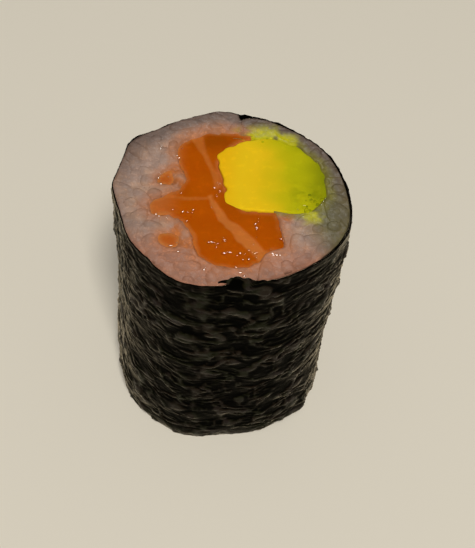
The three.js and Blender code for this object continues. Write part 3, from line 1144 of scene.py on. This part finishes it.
SCRAPS = {
    "salmon_scrap_left": Scrap(
        corners=[(-7.6, 0.6), (-6.5, 0.5), (-6.0, 1.5), (-6.4, 2.8), (-7.5, 2.5), (-8.0, 1.5)],
        top=27.58, points=72, noise=Noise(23),
    ),
    "salmon_scrap_front": Scrap(
        corners=[(-6.8, -7.3), (-5.8, -8.1), (-4.7, -7.6), (-4.8, -6.5), (-5.9, -6.0), (-6.9, -6.4)],
        top=27.6, points=72, noise=Noise(24),
    ),
}


# The rice


@dataclass
class Rice:
    """Cooked rice: a sticky core between the seaweed and the fillings, and the grains of both cuts.

    Avocado is smeared over the rice at the smears and salmon stains it at the flushes, each a plan place and
    its reach.
    """

    level: float = 27.645
    film: float = 0.1
    grain_length: float = 4.8
    grain_width: float = 2.1
    spacing: float = 1.12
    tries: int = 6000
    core_columns: int = 360
    around: int = 22
    lengthwise: int = 15
    uneven: float = 0.022
    slope: float = 0.014
    shoulder: float = 0.13
    cut_away: float = 0.75
    bend: float = 0.25
    steep_share: float = 0.35
    steep: Place = (40.0, 80.0)
    flat: Place = (-20.0, 20.0)
    sizes: Place = (0.85, 1.12)
    shades: Place = (0.95, 1.05)
    core_gap: float = 0.02
    grain_gap: float = 0.03
    core_under: float = 0.5
    grain_under: float = 1.0
    sink: float = 0.45
    tint_level: float = 27.0
    noise: Noise = field(default_factory=lambda: Noise(31))

    SMEARS = (((2.6, 10.0), 2.6), ((5.4, 8.9), 1.4), ((8.4, -2.2), 1.4))
    FLUSHES = (
        ((-5.9, 2.9), 1.1), ((-5.7, 1.0), 0.9), ((-3.9, -7.4), 1.0), ((-5.0, -5.6), 0.9), ((6.0, -2.6), 0.8),
    )
    PALE: Colour = (0.4, 0.245, 0.167)
    MAUVE: Colour = (0.345, 0.225, 0.172)
    FRONT: Colour = (0.41, 0.165, 0.09)
    GREY: Colour = (0.125, 0.11, 0.045)
    # Painted shade laid on the rice along the seaweed wall.
    SEAWEED_SHADE: Colour = (0.12, 0.08, 0.064)
    PINK: Colour = (0.43, 0.15, 0.052)
    FLUSH: Colour = (0.45, 0.135, 0.03)
    LIME: Colour = (0.2, 0.18, 0.02)

    def stains_and_shade(self, points: np.ndarray) -> np.ndarray:
        """Colours of the rice, stained by what it touches, with painted shade by the seaweed.

        Mauve by patches, warmer at the front, grey-green on the right, with painted shade by the seaweed,
        deepest at the back, pink beside the salmon and lime beside the avocado, with flecks over all.

        Args:
            points: places in space.

        Returns:
            Linear colours.
        """
        plan = ROLL.untwisted(points)
        angle, away = polar(plan)
        edge = ROLL.rice_reach(angle, self.tint_level) - away
        back = smoothstep(plan[:, 1], -2.0, 7.0)
        # Painted shade: how much the rice darkens beside the seaweed, over a wider band at the back.
        shade_by_wall = 1.0 - smoothstep(edge / (1.0 + 0.4 * back), 0.1, 2.5)
        salmon = -depth_in(plan, SALMON.outline()[::4])
        for scrap in SCRAPS.values():
            salmon = np.minimum(salmon, 0.3 - depth_in(plan, scrap.outline()[::4]))
        avocado = -depth_in(plan, AVOCADO.outline()[::4])
        beside = smoothstep(-avocado, -2.6, -0.4)
        streaks = self.noise.on(plan, 0.7, 90)
        coats = [
            (self.MAUVE, smoothstep(self.noise.on(plan, 1.1, 4), 0.3, 0.8)),
            (self.FRONT, 0.8 * smoothstep(-plan[:, 1], 5.0, 9.0)),
            (self.GREY, smoothstep(plan[:, 0] + 0.5 * plan[:, 1], 4.5, 8.5)),
            # Painted shade beside the seaweed, most of all at the back.
            (self.SEAWEED_SHADE, shade_by_wall * (0.25 + 0.65 * back)),
            (self.PINK, 0.68 * (1.0 - smoothstep(salmon, 0.1, 1.7))),
        ]
        for at, reach in self.FLUSHES:
            streaked = bell_on(plan, at, reach) + 0.6 * (streaks - 0.5)
            coats.append((self.FLUSH, 0.9 * smoothstep(streaked, 0.25, 0.8)))
        coats.append((self.LIME, 0.7 * (1.0 - smoothstep(avocado + 0.8 * streaks, 0.4, 1.7))))
        for at, reach in self.SMEARS:
            streaked = bell_on(plan, at, reach) + 0.7 * (streaks - 0.5)
            coats.append((Avocado.LIME, 0.9 * smoothstep(streaked, 0.35, 0.75) * beside))
        flecks = 1.0 + 0.3 * (self.noise.on(plan, (0.5, 0.42), 60) - 0.5)
        return painted(self.PALE, *coats) * flecks[:, None]

    def reach_at(self, angle: np.ndarray, z: np.ndarray) -> np.ndarray:
        """Distance from the axis to where the rice ends: the sheet, which thins out towards the upper rim.

        Args:
            angle: direction from the axis.
            z: height.

        Returns:
            The distances.
        """
        layer = np.minimum(ROLL.sheet_depth(ROLL.wound_at(angle)), ROLL.sheet + ROLL.layer_gap)
        over = (0.1 + 0.4 * layer) * (1.0 - 0.9 * bell_round(angle, -84, 16))
        return ROLL.rice_reach(angle, np.clip(z, 0.0, ROLL.height)) + over * smoothstep(z, 26.9, 27.4)

    def channel_reach(self, angle: np.ndarray) -> np.ndarray:
        """Distance from the axis to the fillings' common outline: the farthest point in each direction."""
        towards, away = polar(np.concatenate([AVOCADO.outline(), SALMON.outline()]))
        near = np.abs(np.mod(angle[:, None] - towards[None] + 180, TURN) - 180) < 2.5
        return np.where(near, away[None], 2.0).max(1)

    def core(self, material: bpy.types.Material) -> bpy.types.Object:
        """The sticky core: a closed profile, carried round between the seaweed and the fillings.

        Args:
            material: the finish.

        Returns:
            The piece.
        """
        angle = np.arange(self.core_columns) * TURN / self.core_columns
        inner = self.channel_reach(angle) - self.core_under
        across = np.linspace(0.0, 1.0, 26)
        levels = np.linspace(0.0, 1.0, 18)[1:-1]
        share = np.concatenate([1.0 - across, 0 * levels, across, 0 * levels + 1.0])[None]
        up = np.concatenate([0 * across + 1, 1 - levels, 0 * across, levels])[None]
        face = np.concatenate([0 * across + 1, 0 * levels, 0 * across - 1, 0 * levels])[None]
        low = self.film + 0.1
        z = low + (self.level - low) * up + 0 * angle[:, None]
        outer = self.reach_at(angle[:, None], z) - self.core_gap
        start = np.interp(np.mod(angle[:, None] - ROLL.turn_at(z), TURN), angle, inner, period=TURN)
        radius = start + (outer - start) * share
        x, y = turned(radius, 0.0 * radius, np.radians(angle)[:, None])
        z = z + face * self.film * (self.noise.lumps(x / 2.3 + 40, y / 2.3 + 40) - 0.45)
        points = rows_of(x, y, z)
        upper = points[:, 2] > ROLL.height - 2.0
        points[:, 2] += upper * (self.lift(points[:, :2]) - self.sunk(points[:, :2]))
        faces = [ring_grid(self.core_columns, share.shape[1], True)]
        return make_piece("rice_core", points, faces, material, {"tint": 1.06 * self.stains_and_shade(points)})

    def places(self, draw: np.random.Generator) -> np.ndarray:
        """Places for grains, drawn in turn and kept where they have room beside the earlier ones.

        Args:
            draw: the random draws.

        Returns:
            Plan places clear of the fillings.
        """
        reaches = np.sqrt(draw.random(self.tries)) * (ROLL.radius - 0.2)
        angles = draw.random(self.tries) * 2 * math.pi
        spots = np.stack([reaches * np.cos(angles), reaches * np.sin(angles)], 1)
        plan = spots[:1]
        for spot in spots[1:]:
            if np.hypot(*(plan - spot).T).min() > self.spacing:
                plan = np.concatenate([plan, spot[None]])
        covered = np.maximum(depth_in(plan, AVOCADO.outline()), depth_in(plan, SALMON.outline()))
        for scrap in SCRAPS.values():
            covered = np.maximum(covered, depth_in(plan, scrap.outline()) + 0.25)
        angle, away = polar(plan)
        return plan[(covered < 0.25) & (away > self.channel_reach(angle))]

    def grains(self, cut: Cut, seed: int, material: bpy.types.Material) -> bpy.types.Object:
        """The grains of one cut face, joined into one mesh.

        Each grain is a plump spindle: rings along its length, whose size follows a flattened half
        circle, bent a little and turned its own way. What rises over the cut is levelled with a soft
        shoulder, and what would cross the seaweed or lie deep over a filling is pressed back.

        Args:
            cut: which face.
            seed: for the random draws.
            material: the finish.

        Returns:
            The piece.
        """
        draw = np.random.default_rng(seed)
        plan = self.places(draw)
        count = len(plan)
        each = (count, 1, 1)
        u = np.linspace(-0.96, 0.96, self.lengthwise)[None, :, None]
        v = (np.arange(self.around) * 2 * math.pi / self.around)[None, None, :]
        size = draw.uniform(*self.sizes, each)
        along = np.sin(u * math.pi / 2)
        girth = np.maximum(1.0 - np.abs(along) ** 2.4, 0.0) ** 0.5 * (1.0 + 0.12 * along)
        width = size * self.grain_width / 2 * girth
        x = size * self.grain_length / 2 * along + 0 * v
        y = width * np.cos(v) + draw.uniform(-self.bend, self.bend, each) * (along**2 - 0.3)
        z = 0.88 * width * np.sin(v)
        steep = draw.random(each) < self.steep_share
        pitch = np.where(steep, draw.uniform(*self.steep, each), draw.uniform(*self.flat, each))
        x, z = turned(x, z, np.radians(pitch))
        x, y = turned(x, y, draw.uniform(0.0, 2 * math.pi, each))
        under = self.shoulder + 0.07 if cut is Cut.BOTTOM else 0.0
        level = ROLL.height - under + draw.uniform(-self.uneven, 0.7 * self.uneven, each)
        lean_x, lean_y = draw.uniform(-self.slope, self.slope, (2, *each))
        z = level + z - z.max((1, 2), keepdims=True) + draw.uniform(0.0, self.cut_away, each)
        z = soft_cap(z, level + lean_x * x + lean_y * y, self.shoulder)
        points = rows_of(x + plan[:, 0][:, None, None], y + plan[:, 1][:, None, None], z)
        points[:, 2] += (self.lift(points[:, :2]) if cut is Cut.TOP else 0.0) - self.sunk(points[:, :2])
        if cut is Cut.BOTTOM:
            points = ROLL.twisted(points[:, :2], np.maximum(ROLL.height - points[:, 2], 0.0))
        points = self.kept_in(points)
        shade = np.repeat(draw.uniform(*self.shades, count), self.lengthwise * self.around)
        colours = self.stains_and_shade(points) * shade[:, None]
        faces = many_grids(count, self.lengthwise, self.around)
        return make_piece(f"rice_grains_{cut.name.lower()}", points, faces, material, {"tint": colours})

    def lift(self, plan: np.ndarray) -> np.ndarray:
        """How far the cut rises towards the wall."""
        angle, away = polar(plan)
        return ROLL.rise(angle) * smoothstep(away, 7.5, 11.5)

    def sunk(self, plan: np.ndarray) -> np.ndarray:
        """How far the rice sinks where it reaches over a filling."""
        deepest = np.full(len(plan), -1.0)
        for filling in (AVOCADO, SALMON, *SCRAPS.values()):
            step = 1 + len(filling.corners) // 10
            deepest = np.maximum(deepest, depth_in(plan, filling.outline()[::step]))
        return self.sink * smoothstep(deepest, 0.0, 0.4)

    def kept_in(self, points: np.ndarray) -> np.ndarray:
        """Presses points back between the seaweed and the fillings, along the line from the axis.

        Args:
            points: places in space.

        Returns:
            The pressed places.
        """
        angle, radius = polar(points)
        most = self.reach_at(angle, points[:, 2]) - self.grain_gap
        table = np.arange(0.0, TURN, 1.0)
        section = np.mod(angle - ROLL.turn_at(points[:, 2]), TURN)
        least = np.interp(section, table, self.channel_reach(table), period=TURN) - self.grain_under
        pressed = np.maximum(np.minimum(radius, most), np.minimum(least, most))
        scale = pressed / np.maximum(radius, 1e-6)
        return points * np.stack([scale, scale, np.ones(len(scale))], 1)

    def build(self) -> None:
        """Makes the core and both faces' grains."""
        material = RICE_FINISH.build()
        hand_over(self.core(material), "cooked_rice", "rice")
        hand_over(self.grains(Cut.TOP, 41, material), "cooked_rice", "rice")
        hand_over(self.grains(Cut.BOTTOM, 42, material), "cooked_rice", "rice")


# What lies on the cut face


@dataclass
class Blobs:
    """Small rounded blobs on the upper cut, joined into one mesh: moisture or mashed avocado."""

    spots: np.ndarray
    sizes: np.ndarray
    heights: np.ndarray
    flatness: float
    around: int = 12
    rings: int = 5

    def build(self, name: str, material: bpy.types.Material, colours: np.ndarray) -> bpy.types.Object:
        """Makes the blobs: flattened spheres, each a little longer one way.

        Args:
            name: the piece's name.
            material: the finish.
            colours: a linear colour for each blob.

        Returns:
            The piece.
        """
        count = len(self.spots)
        draw = np.random.default_rng(count)
        polar_angle = np.linspace(0.02, math.pi - 0.02, self.rings)[None, :, None]
        v = (np.arange(self.around) * 2 * math.pi / self.around)[None, None, :]
        longer = draw.uniform(1.0, 1.5, (count, 1, 1))
        yaw = draw.uniform(0.0, 2 * math.pi, (count, 1, 1))
        size = self.sizes[:, None, None]
        ring = size * np.sin(polar_angle)
        x, y = turned(ring * longer * np.cos(v), ring * np.sin(v), yaw)
        z = size * self.flatness * np.cos(polar_angle) + 0 * v + self.heights[:, None, None]
        points = rows_of(x + self.spots[:, 0][:, None, None], y + self.spots[:, 1][:, None, None], z)
        tint = np.repeat(colours, self.rings * self.around, 0)
        return make_piece(name, points, many_grids(count, self.rings, self.around), material, {"tint": tint})


@dataclass(frozen=True)
class Scatter:
    """A patch of the upper cut over which blobs are strewn: its middle, its reaches and their number."""

    x: float
    y: float
    reach_x: float
    reach_y: float
    count: int

    def strewn(self, draw: np.random.Generator) -> np.ndarray:
        """Places strewn over the patch, thinning out from its middle."""
        spread = draw.normal(0.0, 1.0, (self.count, 2)) * np.array((self.reach_x, self.reach_y))
        return np.array((self.x, self.y)) + spread


@dataclass
class Moisture:
    """Small beads of moisture on the rice and on the salmon."""

    patches: tuple[Scatter, ...] = (
        Scatter(-8.2, 4.0, 1.5, 2.6, 64), Scatter(-7.5, -4.5, 2.0, 2.6, 36),
        Scatter(-1.0, -10.6, 3.6, 0.7, 24), Scatter(5.5, -7.8, 2.6, 1.6, 22),
        Scatter(9.5, 0.0, 1.3, 4.5, 20), Scatter(0.0, 10.3, 4.5, 0.6, 20),
        Scatter(0.8, -8.3, 1.9, 0.7, 16), Scatter(2.9, -4.4, 0.15, 1.1, 8), Scatter(-4.3, -3.0, 0.4, 0.25, 6),
        Scatter(-1.5, 0.1, 0.2, 0.9, 8), Scatter(-1.6, -6.8, 0.5, 0.2, 8), Scatter(8.2, -0.8, 1.0, 0.3, 10),
        Scatter(10.3, 4.0, 0.15, 0.15, 3), Scatter(-7.0, 5.0, 0.3, 0.2, 5), Scatter(-7.6, 6.4, 0.8, 0.7, 10),
        Scatter(-4.9, -8.9, 0.4, 0.3, 7), Scatter(2.2, -8.1, 0.3, 0.3, 6), Scatter(4.7, -8.2, 0.4, 0.4, 7),
        Scatter(-9.9, -6.0, 0.15, 0.15, 2), Scatter(-1.6, -10.3, 0.4, 0.3, 6),
    )
    seed: int = 51
    flatness: float = 0.12
    smallest: float = 0.05
    spread: float = 0.14
    heights: Place = (0.03, 0.09)

    def build(self) -> None:
        """Makes the beads, and leaves out those that would hang over the rim."""
        draw = np.random.default_rng(self.seed)
        rice = Rice()
        spots = np.concatenate([patch.strewn(draw) for patch in self.patches])
        angle, away = polar(spots)
        spots = spots[away < ROLL.rice_reach(angle, rice.tint_level) - 0.4]
        sizes = self.smallest + self.spread * draw.random(len(spots)) ** 2.0
        heights = ROLL.height + draw.uniform(*self.heights, len(spots))
        colours = rice.stains_and_shade(np.concatenate([spots, heights[:, None]], 1))
        for filling in (SALMON, AVOCADO):
            depth = depth_in(spots, filling.outline())
            colours = np.where((depth > 0.0)[:, None], filling.tint(spots, depth), colours)
        blobs = Blobs(spots, sizes, heights + rice.lift(spots), self.flatness)
        hand_over(blobs.build("moisture_beads", MoistureFinish().build(), colours), "cooked_rice")


@dataclass
class AvocadoCrumbs:
    """Crumbs of mashed avocado on the stick's near right corner and beside it."""

    patches: tuple[Scatter, ...] = (
        Scatter(8.3, 0.2, 0.8, 0.6, 26), Scatter(8.8, -1.5, 1.0, 0.3, 12), Scatter(2.8, 9.5, 0.9, 0.5, 8),
    )
    seed: int = 52
    flatness: float = 0.4
    sizes: Place = (0.1, 0.26)

    def build(self, material: bpy.types.Material) -> None:
        """Makes the crumbs from low, overlapping blobs, between lime and green."""
        draw = np.random.default_rng(self.seed)
        spots = np.concatenate([patch.strewn(draw) for patch in self.patches])
        sizes = draw.uniform(*self.sizes, len(spots))
        inward = depth_in(spots, AVOCADO.outline()) > 0.1
        heights = ROLL.height + np.where(inward, 0.08, -0.02)
        tints = painted(Avocado.LIME, (Avocado.GREEN, draw.random(len(spots))))
        blobs = Blobs(spots, sizes, heights, self.flatness)
        hand_over(blobs.build("avocado_crumbs", material, tints), "avocado_flesh")


# Camera, lights and floor


@dataclass(frozen=True)
class AreaLight:
    """A square light that looks at the roll: its place and side in metres, its power in watts."""

    name: str
    place: Triple
    side: float
    power: float
    tone: Colour
    glints_only: bool = False

    def build(self) -> None:
        """Hangs the light and turns it to the roll's middle."""
        data = bpy.data.lights.new(self.name, "AREA")
        data.size = self.side
        data.energy = self.power
        data.color = self.tone
        light = bpy.data.objects.new(self.name, data)
        bpy.context.scene.collection.objects.link(light)
        light.location = self.place
        aim = Vector((0.0, 0.0, 0.014)) - Vector(self.place)
        light.rotation_euler = aim.to_track_quat("-Z", "Y").to_euler()
        light.visible_diffuse = not self.glints_only


@dataclass(frozen=True)
class Studio:
    """The photograph's viewing angle, soft light and a plain pale floor."""

    focal_pixels: float = 1023.2
    frame_pixels: float = 548.0
    elevation: float = 49.594
    roll: float = 4.973
    distance: float = 116.96
    target: Triple = (1.346, 1.067, 13.83)
    room: Colour = (1.0, 0.985, 0.955)
    room_strength: float = 0.16
    floor_half: float = 1200.0
    floor_depth: float = 4.0
    lights: tuple[AreaLight, ...] = (
        AreaLight("ceiling_light", (0.12, -0.59, 1.05), 0.28, 11.5, (1.0, 0.985, 0.955)),
        AreaLight("glint_lamp", (0.01, 0.41, 0.48), 0.16, 2.4, (1.0, 0.98, 0.94), glints_only=True),
    )

    def camera(self) -> None:
        """Sets the camera up from the fitted angles."""
        data = bpy.data.cameras.new("camera")
        data.sensor_width = 36.0
        data.lens = self.focal_pixels / self.frame_pixels * data.sensor_width
        data.clip_start = 0.005
        data.clip_end = 10.0
        tilt = math.radians(self.elevation)
        roll = math.radians(self.roll)
        back = Vector((0.0, -math.cos(tilt), math.sin(tilt)))
        level_up = Vector((0.0, math.sin(tilt), math.cos(tilt)))
        right = Vector((math.cos(roll), 0.0, 0.0)) + math.sin(roll) * level_up
        up = Vector((-math.sin(roll), 0.0, 0.0)) + math.cos(roll) * level_up
        turn = Matrix((right, up, back)).transposed().to_4x4()
        camera = bpy.data.objects.new("camera", data)
        bpy.context.scene.collection.objects.link(camera)
        camera.matrix_world = Matrix.Translation((Vector(self.target) + back * self.distance) * MM) @ turn
        bpy.context.scene.camera = camera

    def floor(self) -> None:
        """Lays the floor, a flat box whose top is just under the roll."""
        half = self.floor_half
        square = np.array([(-half, -half), (half, -half), (half, half), (-half, half)])
        corners = np.concatenate([np.insert(square, 2, z, axis=1) for z in (-self.floor_depth, -0.01)])
        quads = np.concatenate([ring_grid(2, 4, False), [[3, 2, 1, 0], [4, 5, 6, 7]]])
        floor = make_piece("floor", corners, [quads], FloorFinish().build())
        floor.data.polygons.foreach_set("use_smooth", np.zeros(len(quads), bool))

    def build(self) -> None:
        """Sets up the camera, the floor, the lights and the surroundings."""
        scene = bpy.context.scene
        scene.view_settings.view_transform = "Standard"
        self.camera()
        self.floor()
        for light in self.lights:
            light.build()
        world = bpy.data.worlds.new("room")
        world.use_nodes = True
        background = world.node_tree.nodes["Background"]
        background.inputs["Color"].default_value = (*self.room, 1.0)
        background.inputs["Strength"].default_value = self.room_strength
        scene.world = world


def main() -> None:
    """Sets up the studio, then builds the roll piece by piece."""
    logging.basicConfig(level=logging.INFO, format="%(message)s")
    Studio().build()
    Seaweed().build()
    Rice().build()
    avocado_finish = AVOCADO_FINISH.build()
    AVOCADO.build("avocado_stick", "avocado_flesh", "avocado", avocado_finish)
    AvocadoCrumbs().build(avocado_finish)
    salmon_finish = SALMON_FINISH.build()
    SALMON.build("salmon_stick", "raw_salmon", "salmon", salmon_finish)
    for name, scrap in SCRAPS.items():
        scrap.build(f"{name}_piece", "raw_salmon", name, salmon_finish)
    Moisture().build()


if __name__ == "__main__":
    main()
